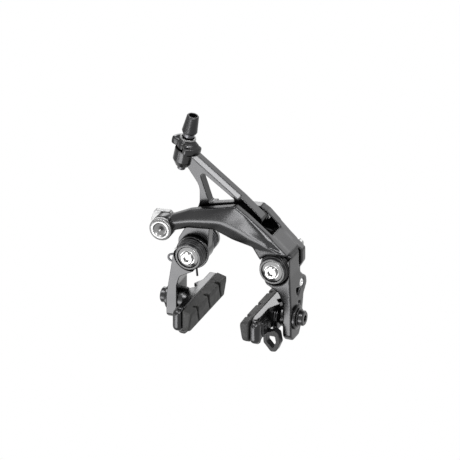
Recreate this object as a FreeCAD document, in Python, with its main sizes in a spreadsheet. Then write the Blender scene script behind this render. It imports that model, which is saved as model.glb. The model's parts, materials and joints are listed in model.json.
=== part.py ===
import FreeCAD, Part
import math
import os
import re

import Sketcher
from FreeCAD import Placement, Rotation, Vector

# Dual-pivot rim brake caliper for direct mounting on two frame bosses, in millimetres.
# +X is the viewer's right, +Y points back into the frame and +Z is up. The origin is on
# the mounting plane, midway between the two mounting bolts. Depths are measured forward
# from the mounting plane, so a depth of 30 is y = -30.

doc = FreeCAD.newDocument("rim_brake_caliper")
sheet = doc.addObject("Spreadsheet::Sheet", "Sizes")

SIZES = {
    # Clearances
    "fit_gap": 0.1,
    "running_gap": 0.05,
    "press_gap": 0.02,
    "seat_gap": 0.2,
    "slot_gap": 0.3,
    # Mounting bolts and what they clamp
    "pivot_span": 54.0,
    "bolt_r": 3.0,
    "stud_length": 12.0,
    "spacer_r": 8.0,
    "spacer_thick": 3.0,
    "sleeve_wall": 1.1,
    "sleeve_front": 31.0,
    "flange_r": 6.7,
    "flange_thick": 2.2,
    "bolt_head_r": 3.95,
    "bolt_head_thick": 2.0,
    "socket_r": 2.35,
    "socket_valley_r": 1.75,
    "socket_depth": 1.5,
    "cap_rear_r": 9.0,
    "cap_front_r": 8.1,
    "cap_rib": 0.45,
    "cap_lip": 1.8,
    # Hubs of both arms
    "hub_rear": 4.2,
    "hub_front": 25.5,
    "hub_tail_r": 6.4,
    "hub_r": 10.3,
    "hub_rim": 2.0,
    "barrel_r": 8.9,
    "cap_clearance": 0.5,
    "bush_wall": 0.9,
    "bush_flange_r": 6.2,
    "bush_flange": 0.8,
    # Front plate of the anchor arm
    "arm_back": 25.0,
    "arm_low_depth": 29.8,
    "arm_ridge_depth": 32.6,
    "arm_top_depth": 30.4,
    # Fork behind the front plate
    "fork_rear": 6.0,
    "fork_wall": 6.0,
    "fork_slit": 2.0,
    # Legs of both arms
    "leg_face": 30.0,
    "leg_rear": 1.0,
    "right_leg_outer": 11.3,
    "right_leg_inner": 5.7,
    "left_leg_outer": 14.8,
    "left_leg_inner": 8.4,
    # Cable anchor
    "anchor_reach": 71.2,
    "anchor_height": 15.9,
    "anchor_boss_r": 7.2,
    "anchor_boss_rear": 22.5,
    "anchor_boss_front": 31.0,
    "anchor_bolt_r": 2.5,
    "anchor_disc_r": 7.2,
    "anchor_disc_thick": 3.5,
    "anchor_rim_r": 5.9,
    "anchor_dish_r": 3.9,
    "anchor_dish_depth": 1.4,
    "clamp_thick": 3.4,
    "anchor_nut_r": 4.4,
    "anchor_nut_thick": 3.2,
    # Truss of the stop arm
    "truss_rear": 15.0,
    "truss_front": 22.0,
    "bar_rear": 17.5,
    "brow_front": 2.4,
    "brow_top": 2.0,
    # Roller that couples the arms
    "roller_reach": 41.2,
    "roller_height": 26.6,
    "roller_r": 1.6,
    "roller_pin_r": 0.9,
    "closing_angle": 6.0,
    "opening_angle": 2.0,
    # Centring screw in the ear of the right leg
    "screw_depth": 11.5,
    "screw_drop": 14.35,
    "screw_seat": 9.3,
    "screw_r": 1.5,
    "screw_head_r": 2.4,
    "screw_head_thick": 1.6,
    "screw_length": 11.0,
    # Barrel adjuster
    "eye_shift": -7.9,
    "eye_height": 59.5,
    "eye_depth": 19.0,
    "eye_r": 6.4,
    "eye_half": 5.6,
    "lean": 12.0,
    "stem_r": 2.5,
    "stem_below": 8.6,
    "nut_thick": 7.0,
    "nut_wing_r": 10.1,
    "nut_wing_half": 21.0,
    "nut_valley_r": 4.3,
    "nut_turn": 100.0,
    "nut_ring_r": 5.0,
    "nut_ring_thick": 0.9,
    "neck_r": 3.8,
    "stem_gap": 3.3,
    "stem_travel": 1.5,
    "ferrule_foot_r": 4.75,
    "ferrule_top_r": 3.7,
    "ferrule_length": 11.6,
    "housing_r": 2.6,
    "housing_depth": 8.0,
    "cable_r": 1.0,
    # Return spring round the tail of the left hub
    "spring_wire_r": 0.65,
    "spring_r": 7.4,
    "spring_pitch": 1.85,
    "spring_turns": 3.695,
    "spring_start": 4.4,
    "spring_room": 0.7,
    "spring_lean": 4.3,
    "spring_tang": 25.5,
    "spring_arm": 21.5,
    "spring_eye_r": 2.1,
    "spring_eye_back": 3.0,
    # Brake shoes
    "shoe_face": 15.4,
    "insert_thick": 6.0,
    "insert_chamfer": 3.7,
    "groove_width": 1.5,
    "groove_depth": 2.2,
    "groove_first": 7.8,
    "groove_step": 17.6,
    "groove_sweep": 7.0,
    "holder_thick": 4.6,
    "shoe_top": 23.6,
    "shoe_bottom": 38.4,
    "shoe_front": 57.0,
    "shoe_rear": -1.0,
    "boss_r": 5.2,
    "boss_long": 2.2,
    "pad_depth": 22.0,
    "pad_drop": 32.5,
    "pad_bolt_r": 3.0,
    "pad_bolt_bite": 3.6,
    "pad_head_r": 4.7,
    "pad_head_thick": 3.0,
    "pad_washer_r": 7.5,
    "outer_stack": 2.6,
    "pad_travel": 2.5,
    "loop_rear": 31.0,
    "loop_width": 5.0,
    "loop_drop_right": 1.0,
    "loop_drop_left": 0.85,
    "grub_depth": 44.0,
    "grub_r": 1.5,
}

# Corner tables: across and up from the arm's own pivot, then the corner's radius

OUTLINES = {
    "knuckle": [(-2.8, 20.4, 0), (8.2, 10.8, 2), (10.3, 7.5, 0), (10.3, -4, 0),
                (-4, -6, 0), (-9, 4, 0), (-12, 13, 0)],
    "web": [(-36, 19.0, 0), (-27, 15.4, 0), (-15, 12.6, 0), (-9, 5, 0), (-2, 10, 0),
            (-8, 16.8, 0), (-16, 18.8, 0), (-36, 22.6, 0)],
    "rear_wall": [(-26, 24.5, 1.5), (-26, 31.0, 1.5), (-15.5, 31.6, 2), (-11, 28.9, 2),
                  (-7.1, 25.1, 0), (1.3, 16.6, 0), (11.3, 7.2, 1), (11.3, -1, 1),
                  (8.6, -5.8, 0), (0, -8.5, 0), (-8.5, 0, 0), (-14, 12, 0)],
    "truss": [(-9.6, -1, 0), (-10.6, 6, 6), (-5.8, 14.5, 0), (3.4, 31.5, 12), (3.4, 43, 12),
              (-6.5, 57, 0), (-4.0, 66.0, 0), (0.6, 62.3, 3), (31.2, 39.2, 0), (36.9, 34.4, 0),
              (43.1, 28.6, 1), (43.9, 26.2, 1.2), (41.0, 24.4, 1.5), (29.5, 33.6, 5),
              (17, 27.5, 5), (9.6, 16, 8), (8.6, 2, 0)],
    "window": [(2.4, 54.3, 1.8), (9.6, 32.9, 1.5), (27.2, 36.9, 1.2)],
    "bar_recess": [(12.5, 35.0, 0), (25.5, 38.0, 0), (27.0, 30.5, 0), (15.5, 25.0, 0)],
    "right_leg": [(-8.5, -3, 0), (-5, -10.4, 0), (3.0, -14.8, 5), (5.7, -22, 6),
                  (5.7, -46.5, 0), (11.3, -46.5, 0), (11.3, -24, 0), (10.3, -4, 0),
                  (10.3, 8, 0), (4, 4, 0)],
    "left_leg": [(8.0, -4, 0), (2.0, -10.4, 0), (-6.4, -14.8, 4), (-8.4, -21.4, 5),
                 (-8.4, -46.5, 0), (-14.8, -46.5, 0), (-14.8, -28, 10), (-11.0, -3, 0),
                 (-9.6, 3, 0), (-4, 6, 0)],
    "right_profile": [(30, 9, 0), (30, -42.6, 2), (26.5, -46.4, 3), (16.5, -46.4, 3),
                      (12.0, -40, 4), (10.6, -30, 5), (8.9, -22.4, 3), (3.2, -18.0, 2),
                      (3.4, -13.0, 2.2), (9.4, -9.2, 2), (12.0, -6.4, 0), (12.0, 9, 0)],
    "left_profile": [(30, 7, 0), (30, -41.0, 2), (26.5, -43.8, 2.5), (16.5, -43.8, 3),
                     (12.8, -39, 4), (12.6, -30, 0), (12.6, 7, 0)],
    "upper_light": [(20.8, -14.2, 0.8), (18.8, -20.4, 0.5), (13.6, -16.8, 0.5)],
    "lower_light": [(18.2, -23.2, 0.4), (14.6, -25.0, 0.4), (16.4, -28.2, 0.4)],
    "clamp": [(-9.4, -4.5, 2), (-10.4, 0.5, 2), (-8.3, 6.4, 1.5), (1.8, 7.0, 2),
              (5.0, 1.0, 2.5), (2.0, -5.0, 2)],
    "loop_outer": [(22.6, 0, 0), (23.0, 7.2, 2), (27.6, 12.6, 2), (31.0, 12.3, 2),
                   (33.5, 6.4, 2), (32.4, 0.2, 1.5), (29.8, -1.4, 1), (26.2, 0, 0)],
    "loop_hole": [(24.9, 2.4, 0.8), (25.0, 6.4, 0.8), (28.2, 10.0, 0.6), (29.3, 9.8, 0.6),
                  (30.9, 6.0, 0.8), (30.2, 2.4, 0.8)],
}

# Sections of the forged front plate, each with its lower edge, ridge and upper edge. The
# first two are measured from the cable anchor, the others from the right pivot.

AT_ANCHOR = ("tip", "wrist")
STATIONS = {
    "tip": [(4.2, 13.6), (5.2, 20.4), (4.7, 24.2)],
    "wrist": [(16.2, 18.0), (17.2, 23.4), (17.2, 30.2)],
    "crown": [(-38.5, 19.6), (-33, 26.0), (-24.6, 37.6)],
    "waist": [(-27, 15.2), (-21, 22.8), (-16.6, 32.0)],
    "elbow": [(-14, 12.4), (-8, 17.2), (-2.6, 20.6)],
    "root": [(-9.0, 4.6), (4.6, 12.6), (9.0, 10.4)],
}

PLANES = {
    "front": Rotation(Vector(1, 0, 0), Vector(0, 0, 1), Vector(0, -1, 0), "XYZ"),
    "side": Rotation(Vector(0, -1, 0), Vector(0, 0, 1), Vector(-1, 0, 0), "XYZ"),
    "top": Rotation(Vector(1, 0, 0), Vector(0, 1, 0), Vector(0, 0, 1), "XYZ"),
}
FORWARD = Vector(0, -1, 0)
RIGHT = Vector(1, 0, 0)
UP = Vector(0, 0, 1)


def fill_sheet():
    """Write every driving dimension into a cell of its own with its alias."""
    cells = dict(SIZES)
    for outline, corners in OUTLINES.items():
        for number, (across, up, radius) in enumerate(corners, 1):
            cells[f"{outline}_across{number}"] = across
            cells[f"{outline}_up{number}"] = up
            cells[f"{outline}_round{number}"] = radius
    for station, marks in STATIONS.items():
        for edge, (across, up) in zip(("low", "ridge", "top"), marks):
            cells[f"{station}_{edge}_across"] = across
            cells[f"{station}_{edge}_up"] = up
    for row, (alias, number) in enumerate(cells.items(), 1):
        sheet.set(f"A{row}", str(number))
        sheet.setAlias(f"A{row}", alias)
    doc.recompute()
    return set(cells)


ALIASES = fill_sheet()


def bind(text):
    """An expression on the sheet, with each alias given its sheet's name."""
    return re.sub(r"[A-Za-z_][A-Za-z_0-9]*",
                  lambda word: f"Sizes.{word[0]}" if word[0] in ALIASES else word[0], str(text))


def value(text):
    """The present value of an expression on the sheet."""
    result = sheet.evalExpression(str(text))
    return float(getattr(result, "Value", result))


def fill_sketch(sketch, corners):
    """Draw a closed outline in a sketch and bind its corners to the sheet."""
    points = [Vector(value(across), value(up), 0) for across, up in corners]
    for start, end in zip(points, points[1:] + points[:1]):
        sketch.addGeometry(Part.LineSegment(start, end))
    count = len(points)
    for line in range(count):
        sketch.addConstraint(Sketcher.Constraint("Coincident", line, 2, (line + 1) % count, 1))
    for line, (across, up) in enumerate(corners):
        for kind, text, size in (("DistanceX", across, points[line].x),
                                 ("DistanceY", up, points[line].y)):
            index = sketch.addConstraint(Sketcher.Constraint(kind, -1, 1, line, 1, size))
            sketch.setExpression(f"Constraints[{index}]", bind(text))
    return points


def place(thing, across="0", depth="0", up="0"):
    """Bind an object's place: across, forward of the mounting plane, and up."""
    thing.setExpression("Placement.Base.x", bind(across))
    thing.setExpression("Placement.Base.y", bind(f"-({depth})"))
    thing.setExpression("Placement.Base.z", bind(up))


def rounded(name, solid, corners, points, plane):
    """Round the edges that rise from an outline's corners."""
    frame = solid.Base.Placement.inverse()
    edges = []
    for number, edge in enumerate(solid.Shape.Edges, 1):
        ends = [frame.multVec(vertex.Point) for vertex in edge.Vertexes]
        if len(ends) != 2 or abs(ends[0].z - ends[1].z) < 1e-6:
            continue
        for point, radius in zip(points, corners):
            flat = [Vector(end.x, end.y, 0) for end in ends]
            if radius > 0 and all(end.distanceToPoint(point) < 1e-4 for end in flat):
                edges.append((number, radius, radius))
    if not edges:
        return solid
    fillet = doc.addObject("Part::Fillet", f"{name}_rounded")
    fillet.Base = solid
    fillet.Edges = edges
    doc.recompute()
    return fillet


def prism(name, plane, corners, start, end, across="0", up="0", radii=None):
    """A plate with a drawn outline, standing on a plane from start to end."""
    sketch = doc.addObject("Sketcher::SketchObject", f"{name}_outline")
    sketch.Placement = Placement(Vector(0, 0, 0), PLANES[plane])
    if plane == "front":
        place(sketch, across, start, up)
    elif plane == "side":
        place(sketch, f"-({start})", "0", up)
    else:
        place(sketch, across, "0", start)
    points = fill_sketch(sketch, corners)
    solid = doc.addObject("Part::Extrusion", name)
    solid.Base = sketch
    solid.DirMode = "Normal"
    solid.Solid = True
    solid.setExpression("LengthFwd", bind(f"({end}) - ({start})"))
    doc.recompute()
    return rounded(name, solid, radii, points, plane) if radii else solid


def outline(table, mirror=1, up_sign=1):
    """Corners and radii of a corner table, as expressions on the sheet."""
    numbers = range(1, len(OUTLINES[table]) + 1)
    corners = [(f"{mirror} * {table}_across{n}", f"{up_sign} * {table}_up{n}") for n in numbers]
    radii = [value(f"{table}_round{n}") for n in numbers]
    return corners, radii


def table_prism(table, plane, start, end, across="0"):
    """A plate whose outline is a corner table, measured from a pivot."""
    corners, radii = outline(table)
    return prism(table, plane, corners, start, end, across=across, radii=radii)


def cylinder(name, radius, start, end, across, up, direction=FORWARD):
    """A round bar along a direction, from start to end."""
    bar = doc.addObject("Part::Cylinder", name)
    bar.setExpression("Radius", bind(radius))
    bar.setExpression("Height", bind(f"({end}) - ({start})"))
    bar.Placement = Placement(Vector(0, 0, 0), Rotation(UP, direction))
    place(bar, across, start, up)
    return bar


def cross_bar(name, radius, start, end, depth, up):
    """A round bar across the object, from one side coordinate to another."""
    bar = doc.addObject("Part::Cylinder", name)
    bar.setExpression("Radius", bind(radius))
    bar.setExpression("Height", bind(f"({end}) - ({start})"))
    bar.Placement = Placement(Vector(0, 0, 0), Rotation(UP, RIGHT))
    place(bar, start, depth, up)
    return bar


def fuse(name, pieces):
    """Several solids joined into one."""
    joined = doc.addObject("Part::MultiFuse", name)
    joined.Shapes = pieces
    joined.Refine = True
    return joined


def cut(name, base, tools):
    """A solid with others taken out of it."""
    tool = tools[0] if len(tools) == 1 else fuse(f"{name}_tools", tools)
    result = doc.addObject("Part::Cut", name)
    result.Base = base
    result.Tool = tool
    result.Refine = True
    return result


def common(name, pieces):
    """What several solids share."""
    shared = doc.addObject("Part::MultiCommon", name)
    shared.Shapes = pieces
    shared.Refine = True
    return shared


NODES = []


def node(name, thing):
    """Name a finished sub-part after its file."""
    thing.Label = name
    NODES.append(thing)
    return thing


def turned(name, profile, across, depth, up, direction):
    """A turned piece: a profile of (along, radius) spun about its own axis."""
    body = doc.addObject("PartDesign::Body", name)
    sketch = body.newObject("Sketcher::SketchObject", f"{name}_profile")
    plane = next(item for item in body.Origin.OriginFeatures if item.Role == "XY_Plane")
    sketch.AttachmentSupport = [(plane, "")]
    sketch.MapMode = "FlatFace"
    fill_sketch(sketch, profile)
    spin = body.newObject("PartDesign::Revolution", f"{name}_turned")
    spin.Profile = sketch
    spin.ReferenceAxis = (sketch, ["H_Axis"])
    spin.Angle = 360
    body.Placement = Placement(Vector(0, 0, 0), Rotation(RIGHT, direction))
    place(body, across, depth, up)
    return body


def socket(body, name, corners, end, depth):
    """A wrench recess cut into the outer end of a turned piece."""
    sketch = body.newObject("Sketcher::SketchObject", f"{name}_socket")
    plane = next(item for item in body.Origin.OriginFeatures if item.Role == "YZ_Plane")
    sketch.AttachmentSupport = [(plane, "")]
    sketch.MapMode = "FlatFace"
    sketch.setExpression("AttachmentOffset.Base.z", bind(end))
    fill_sketch(sketch, corners)
    doc.recompute()
    before = body.Shape.Volume
    recess = body.newObject("PartDesign::Pocket", f"{name}_recess")
    recess.Profile = sketch
    recess.setExpression("Length", bind(depth))
    doc.recompute()
    if body.Shape.Volume >= before:
        recess.Reversed = True
        doc.recompute()


def star(points, outer, inner):
    """Corners of a wrench socket: a star, or a polygon where both radii agree."""
    corners = []
    for step in range(2 * points):
        radius = outer if step % 2 == 0 else inner
        angle = 180 * step / points
        corners.append((f"({radius}) * cos({angle})", f"({radius}) * sin({angle})"))
    return corners


def hexagon(radius):
    """Corners of a hexagon."""
    return [(f"({radius}) * cos({angle})", f"({radius}) * sin({angle})")
            for angle in range(0, 360, 60)]


PIVOTS = {"left": "-pivot_span / 2", "right": "pivot_span / 2"}
BORE = "bolt_r + fit_gap"
SLEEVE = "bolt_r + fit_gap + sleeve_wall"
BUSH_IN = f"{SLEEVE} + running_gap"
BUSH_OUT = f"{BUSH_IN} + bush_wall"
HUB_BORE = f"{BUSH_OUT} + press_gap"
FLANGE_FRONT = "sleeve_front + flange_thick"
HEAD_FRONT = f"{FLANGE_FRONT} + bolt_head_thick"
CAP_REAR = "hub_front + seat_gap"
CAP_FRONT = "sleeve_front + cap_lip"
SPOT = "cap_rear_r + cap_rib + cap_clearance"
HUB_STEP = "(spring_start + spring_pitch * spring_turns + spring_wire_r + spring_room)"


def mounting_bolt(side):
    """M6 bolt that clamps the pivot to the frame, with its stud behind."""
    bolt = turned(f"mounting_bolt_{side}", [
        ("-stud_length", "0"), ("-stud_length", "bolt_r - 0.6"), ("-stud_length + 0.6", "bolt_r"),
        ("0", "bolt_r"), ("0", "bolt_r - 0.1"),
        (FLANGE_FRONT, "bolt_r - 0.1"), (FLANGE_FRONT, "bolt_head_r"),
        (f"{HEAD_FRONT} - 0.6", "bolt_head_r"), (HEAD_FRONT, "bolt_head_r - 0.6"),
        (HEAD_FRONT, "0")], PIVOTS[side], "0", "0", FORWARD)
    socket(bolt, f"mounting_bolt_{side}", star(6, "socket_r", "socket_valley_r"), HEAD_FRONT,
           "socket_depth")
    node(f"mounting_bolt_{side}", bolt)


def flange_washer(side):
    """Polished washer with a sloped face, under the bolt head."""
    node(f"flange_washer_{side}", turned(f"flange_washer_{side}", [
        ("sleeve_front", BORE), ("sleeve_front", "flange_r"),
        ("sleeve_front + flange_thick / 3", "flange_r"), (FLANGE_FRONT, "bolt_head_r + 0.7"),
        (FLANGE_FRONT, BORE)], PIVOTS[side], "0", "0", FORWARD))


def pivot_cap(side):
    """Black dust cap with ribs, tapering from the hub to the washer."""
    ribs = 3
    profile = [(CAP_REAR, f"{SLEEVE} + fit_gap"), (CAP_REAR, "cap_rear_r")]
    length = f"({CAP_FRONT} - ({CAP_REAR}))"
    for rib in range(ribs):
        for share, lift in ((0.15, 0), (0.25, 1), (0.6, 1), (0.7, 0)):
            part = (rib + share) / (ribs + 1)
            profile.append((f"{CAP_REAR} + {length} * {part:.4f}",
                            f"cap_rear_r + (cap_front_r - cap_rear_r) * {part:.4f}"
                            f" + cap_rib * {lift}"))
    profile += [(f"{CAP_FRONT} - 0.4", "cap_front_r"), (CAP_FRONT, "cap_front_r - 0.3"),
                (CAP_FRONT, "flange_r + fit_gap"), ("sleeve_front", "flange_r + fit_gap"),
                ("sleeve_front", f"{SLEEVE} + fit_gap")]
    node(f"pivot_cap_{side}", turned(f"pivot_cap_{side}", profile, PIVOTS[side], "0", "0",
                                     FORWARD))


def pivot_sleeve(side):
    """Steel tube clamped by the bolt, on which the arm turns."""
    node(f"pivot_sleeve_{side}", turned(f"pivot_sleeve_{side}", [
        ("spacer_thick", BORE), ("spacer_thick", SLEEVE), ("sleeve_front", SLEEVE),
        ("sleeve_front", BORE)], PIVOTS[side], "0", "0", FORWARD))


def rear_spacer(side):
    """Polished spacer that seats on the frame's boss."""
    node(f"rear_spacer_{side}", turned(f"rear_spacer_{side}", [
        ("0", BORE), ("0", "spacer_r - 0.5"), ("0.5", "spacer_r"),
        ("spacer_thick - 0.5", "spacer_r"), ("spacer_thick", "spacer_r - 0.5"),
        ("spacer_thick", BORE)], PIVOTS[side], "0", "0", FORWARD))


def pivot_bush(side):
    """Plain bush pressed into the hub, with a thrust flange behind it."""
    node(f"pivot_bush_{side}", turned(f"pivot_bush_{side}", [
        ("hub_rear - bush_flange", BUSH_IN), ("hub_rear - bush_flange", "bush_flange_r"),
        ("hub_rear", "bush_flange_r"), ("hub_rear", BUSH_OUT), ("hub_front", BUSH_OUT),
        ("hub_front", BUSH_IN)], PIVOTS[side], "0", "0", FORWARD))


def front_plate():
    """Forged plate of the anchor arm: flat facets between its sections."""
    sections = []
    for station in STATIONS:
        origin = "pivot_span / 2" + (" - anchor_reach" if station in AT_ANCHOR else "")
        corners = []
        for edge, depth in (("low", "arm_back"), ("low", "arm_low_depth"),
                            ("ridge", "arm_ridge_depth"), ("top", "arm_top_depth"),
                            ("top", "arm_back")):
            corners.append(Vector(value(f"{origin} + {station}_{edge}_across"),
                                  -value(depth), value(f"{station}_{edge}_up")))
        sections.append(corners)
    facets = []
    for near, far in zip(sections, sections[1:]):
        for side in range(5):
            following = (side + 1) % 5
            facets.append([near[side], near[following], far[following]])
            facets.append([near[side], far[following], far[side]])
    for end in (sections[0], sections[-1]):
        facets.append([end[0], end[1], end[3], end[4]])
        facets.append([end[1], end[2], end[3]])
    faces = [Part.Face(Part.makePolygon(facet + facet[:1])) for facet in facets]
    plate = doc.addObject("Part::Feature", "front_plate")
    plate.Shape = Part.Solid(Part.Shell(faces)).removeSplitter()
    return plate


def roller_path(angle):
    """Place of the roller from the right pivot when both arms have closed by an angle."""
    turn = math.radians(angle)
    reach, height = value("roller_reach"), value("roller_height")
    across = reach * math.cos(2 * turn) - height * math.sin(2 * turn)
    up = height * math.cos(2 * turn) + reach * math.sin(2 * turn)
    span = value("pivot_span")
    return Vector(across - span * math.cos(turn), 0, up - span * math.sin(turn))


def roller_slot(start, end):
    """Curved slot that the roller follows in the fork's rear wall."""
    first, last = -value("opening_angle"), value("closing_angle")
    marks = [roller_path(first), roller_path((first + last) / 2), roller_path(last)]
    centre = Part.Arc(*marks).toShape().Curve.Center
    half = value("roller_r + fit_gap")
    rings = []
    for grow in (half, -half):
        rings.append([mark + (mark - centre).normalize() * grow for mark in marks])
    outer, inner = rings
    tips = []
    for near, far in ((0, 1), (-1, -2)):
        along = (marks[near] - marks[far]).normalize()
        radial = (marks[near] - centre).normalize()
        along = (along - radial * along.dot(radial)).normalize()
        tips.append(marks[near] + along * half)
    edges = [Part.Arc(*outer), Part.Arc(outer[-1], tips[1], inner[-1]), Part.Arc(*inner),
             Part.Arc(inner[0], tips[0], outer[0])]
    face = Part.Face(Part.Wire(Part.__sortEdges__([edge.toShape() for edge in edges])))
    slot = doc.addObject("Part::Feature", "roller_slot")
    slot.Shape = face.extrude(FORWARD * (value(end) - value(start)))
    slot.Placement = Placement(Vector(value("pivot_span / 2"), -value(start), 0), Rotation())
    return slot


def pad_slot(name, start, end):
    """Upright slot in a leg for the pad bolt."""
    reach = "pad_bolt_r + slot_gap"
    bars = [cross_bar(f"{name}_{place_name}", reach, start, end, "pad_depth",
                      f"-pad_drop + {sign} * pad_travel")
            for place_name, sign in (("high", 1), ("low", -1))]
    gap = prism(f"{name}_gap", "side", [
        (f"pad_depth - ({reach})", "-pad_drop - pad_travel"),
        (f"pad_depth + {reach}", "-pad_drop - pad_travel"),
        (f"pad_depth + {reach}", "-pad_drop + pad_travel"),
        (f"pad_depth - ({reach})", "-pad_drop + pad_travel")], f"-({end})", f"-({start})")
    return bars + [gap]


def hub_bore(name, across):
    """Bore through a hub for its bush."""
    return cylinder(name, HUB_BORE, "0", "hub_front + 1", across, "0")


def anchor_arm():
    """Right arm: faceted front plate, fork, hub and leg, forged in one piece."""
    pivot = PIVOTS["right"]
    anchor = f"{pivot} - anchor_reach"
    fork_front = "fork_rear + fork_wall"
    body = fuse("anchor_arm_body", [
        front_plate(),
        cylinder("anchor_boss", "anchor_boss_r", "arm_back", "anchor_boss_front", anchor,
                 "anchor_height"),
        cylinder("anchor_foot", "anchor_boss_r - 0.3", "anchor_boss_rear", "arm_back", anchor,
                 "anchor_height"),
        table_prism("knuckle", "front", fork_front, "arm_back + 1", pivot),
        table_prism("web", "front", fork_front, "arm_back + 1", pivot),
        table_prism("rear_wall", "front", "fork_rear", fork_front, pivot),
        cylinder("right_barrel", "barrel_r", "hub_rear", "hub_front", pivot, "0"),
        cylinder("right_hub", "hub_r", "hub_front - hub_rim", "hub_front", pivot, "0"),
        common("right_leg_forging", [
            table_prism("right_leg", "front", "leg_rear", "leg_face", pivot),
            table_prism("right_profile", "side", "-pivot_span", "0"),
        ]),
    ])
    outer = f"{pivot} + right_leg_outer + 1"
    inner = f"{pivot} + right_leg_inner - 1"
    slit = prism("fork_slit", "front", [
        ("right_leg_inner + 1.2", "-2.5"), ("right_leg_outer + 3", "-4"),
        ("right_leg_outer + 3", "9"), ("right_leg_inner + 1.2", "8.4")],
        fork_front, f"{fork_front} + fork_slit", across=pivot)
    windows = [table_prism(table, "side", f"-({outer})", f"-({inner})")
               for table in ("upper_light", "lower_light")]
    tools = [
        hub_bore("right_bore", pivot),
        cylinder("right_spot", SPOT, "hub_front", "sleeve_front + 6", pivot, "0"),
        cylinder("anchor_hole", "anchor_bolt_r + fit_gap", "anchor_boss_rear - 1",
                 "anchor_boss_front + 1", anchor, "anchor_height"),
        cylinder("anchor_spot", "anchor_disc_r + slot_gap", "anchor_boss_front",
                 "anchor_boss_front + 8", anchor, "anchor_height"),
        roller_slot("fork_rear - 1", f"{fork_front} + 1"),
        slit,
        cross_bar("screw_hole", "screw_r + fit_gap", f"{pivot} - 3", outer, "screw_depth",
                  "-screw_drop"),
        cross_bar("screw_sink", "screw_head_r + fit_gap", f"{pivot} + screw_seat", outer,
                  "screw_depth", "-screw_drop"),
        *windows,
        *pad_slot("right_slot", inner, outer),
    ]
    node("anchor_arm", cut("anchor_arm", body, tools))


def brow_bevel(pivot):
    """Wedge that bevels the front of the truss's long upper edge."""
    start, end = [Vector(value(f"{pivot} + truss_across{n}"), -value("truss_front"),
                         value(f"truss_up{n}")) for n in (8, 9)]
    along = (end - start).normalize()
    out = Vector(-along.z, 0, along.x)
    sketch = doc.addObject("Sketcher::SketchObject", "brow_outline")
    sketch.Placement = Placement(start - along * 8, Rotation(out, FORWARD, along, "XYZ"))
    fill_sketch(sketch, [("-brow_front", "0"), ("0", "-brow_top"), ("4", "-brow_top"),
                         ("4", "4"), ("-brow_front", "4")])
    wedge = doc.addObject("Part::Extrusion", "brow_bevel")
    wedge.Base = sketch
    wedge.DirMode = "Normal"
    wedge.Solid = True
    wedge.LengthFwd = start.distanceToPoint(end) + 6
    doc.recompute()
    return wedge


def stop_arm():
    """Left arm: hub, leg and the open truss that carries the adjuster's eye."""
    pivot = PIVOTS["left"]
    axis = Vector(math.sin(math.radians(value("lean"))), 0, math.cos(math.radians(value("lean"))))
    eye = turned("eye_boss", [
        ("-eye_half - 0.4", "0"), ("-eye_half - 0.4", "eye_r - 2.5"), ("-2", "eye_r"),
        ("eye_half", "eye_r"), ("eye_half", "0")],
        f"{pivot} + eye_shift", "eye_depth", "eye_height", axis)
    eye_hole = turned("eye_hole", [
        ("-eye_half - 4", "0"), ("-eye_half - 4", "stem_r + fit_gap"),
        ("eye_half + 4", "stem_r + fit_gap"), ("eye_half + 4", "0")],
        f"{pivot} + eye_shift", "eye_depth", "eye_height", axis)
    above_eye = turned("above_eye", [
        ("eye_half", "0"), ("eye_half", "eye_r + 8"), ("eye_half + 12", "eye_r + 8"),
        ("eye_half + 12", "0")], f"{pivot} + eye_shift", "eye_depth", "eye_height", axis)
    corners, radii = outline("left_profile")
    rear_edge = zip((f"{HUB_STEP} + 0.2", HUB_STEP, HUB_STEP), corners[-3:])
    corners[-3:] = [(depth, up) for depth, (_, up) in rear_edge]
    body = fuse("stop_arm_body", [
        eye,
        table_prism("truss", "front", "truss_rear", "truss_front", pivot),
        cylinder("left_tail", "hub_tail_r", "hub_rear", "hub_front", pivot, "0"),
        cylinder("left_barrel", "barrel_r", HUB_STEP, "hub_front", pivot, "0"),
        cylinder("left_hub", "hub_r", "hub_front - hub_rim", "hub_front", pivot, "0"),
        common("left_leg_forging", [
            table_prism("left_leg", "front", "leg_rear", "leg_face", pivot),
            prism("left_profile", "side", corners, "0", "pivot_span", radii=radii),
        ]),
    ])
    outer = f"{pivot} - left_leg_outer - 1"
    inner = f"{pivot} - left_leg_inner + 1"
    tools = [
        hub_bore("left_bore", pivot),
        cylinder("left_spot", SPOT, "hub_front", "sleeve_front + 6", pivot, "0"),
        table_prism("window", "front", "truss_rear - 1", "truss_front + 1", pivot),
        table_prism("bar_recess", "front", "truss_rear - 1", "bar_rear", pivot),
        brow_bevel(pivot),
        eye_hole,
        above_eye,
        cylinder("pin_hole", "roller_pin_r + press_gap", "truss_rear - 1", "truss_front - 2",
                 f"{pivot} + roller_reach", "roller_height"),
        *pad_slot("left_slot", outer, inner),
    ]
    node("stop_arm", cut("stop_arm", body, tools))


def coupling_roller():
    """Roller on a pin at the stop arm's tip, running in the fork's slot."""
    across = f"{PIVOTS['left']} + roller_reach"
    fork_front = "fork_rear + fork_wall"
    node("roller_pin", turned("roller_pin", [
        ("fork_rear - 0.4", "0"), ("fork_rear - 0.4", "roller_pin_r"),
        ("truss_front - 2.2", "roller_pin_r"), ("truss_front - 2.2", "0")],
        across, "0", "roller_height", FORWARD))
    node("coupling_roller", turned("coupling_roller", [
        ("fork_rear + 0.2", "roller_pin_r + running_gap"), ("fork_rear + 0.2", "roller_r"),
        (f"{fork_front} + 1.6", "roller_r"),
        (f"{fork_front} + 1.6", "roller_pin_r + running_gap")],
        across, "0", "roller_height", FORWARD))


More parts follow.
